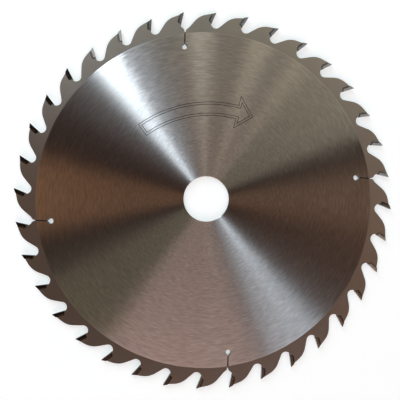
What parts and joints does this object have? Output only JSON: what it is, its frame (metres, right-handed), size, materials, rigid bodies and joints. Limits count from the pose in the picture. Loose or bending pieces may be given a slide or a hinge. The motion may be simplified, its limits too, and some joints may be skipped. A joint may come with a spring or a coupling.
{
  "type": "circular saw blade",
  "caption": "Thin steel disc with an arbor bore, curved teeth with brazed carbide tips, round gullets and expansion slots, for cutting wood.",
  "frame": {"origin": "centre of the arbor bore, halfway through the plate", "axes": "+Z along the arbor axis, out of the marked side; +Y through the cutting point of the first tooth; seen from +Z the blade cuts clockwise"},
  "size_m": [0.25, 0.25, 0.0028],
  "materials": {
    "plate_steel": "ground in circles, with a matte rim",
    "carbide": "dark ground carbide"
  },
  "bodies": {
    "root": {"saw_plate": "plate_steel", "carbide_tip_01": "carbide", "carbide_tip_02": "carbide", "carbide_tip_03": "carbide", "carbide_tip_04": "carbide", "carbide_tip_05": "carbide", "carbide_tip_06": "carbide", "carbide_tip_07": "carbide", "carbide_tip_08": "carbide", "carbide_tip_09": "carbide", "carbide_tip_10": "carbide", "carbide_tip_11": "carbide", "carbide_tip_12": "carbide", "carbide_tip_13": "carbide", "carbide_tip_14": "carbide", "carbide_tip_15": "carbide", "carbide_tip_16": "carbide", "carbide_tip_17": "carbide", "carbide_tip_18": "carbide", "carbide_tip_19": "carbide", "carbide_tip_20": "carbide", "carbide_tip_21": "carbide", "carbide_tip_22": "carbide", "carbide_tip_23": "carbide", "carbide_tip_24": "carbide", "carbide_tip_25": "carbide", "carbide_tip_26": "carbide", "carbide_tip_27": "carbide", "carbide_tip_28": "carbide", "carbide_tip_29": "carbide", "carbide_tip_30": "carbide", "carbide_tip_31": "carbide", "carbide_tip_32": "carbide", "carbide_tip_33": "carbide", "carbide_tip_34": "carbide", "carbide_tip_35": "carbide", "carbide_tip_36": "carbide"}
  },
  "joints": []
}
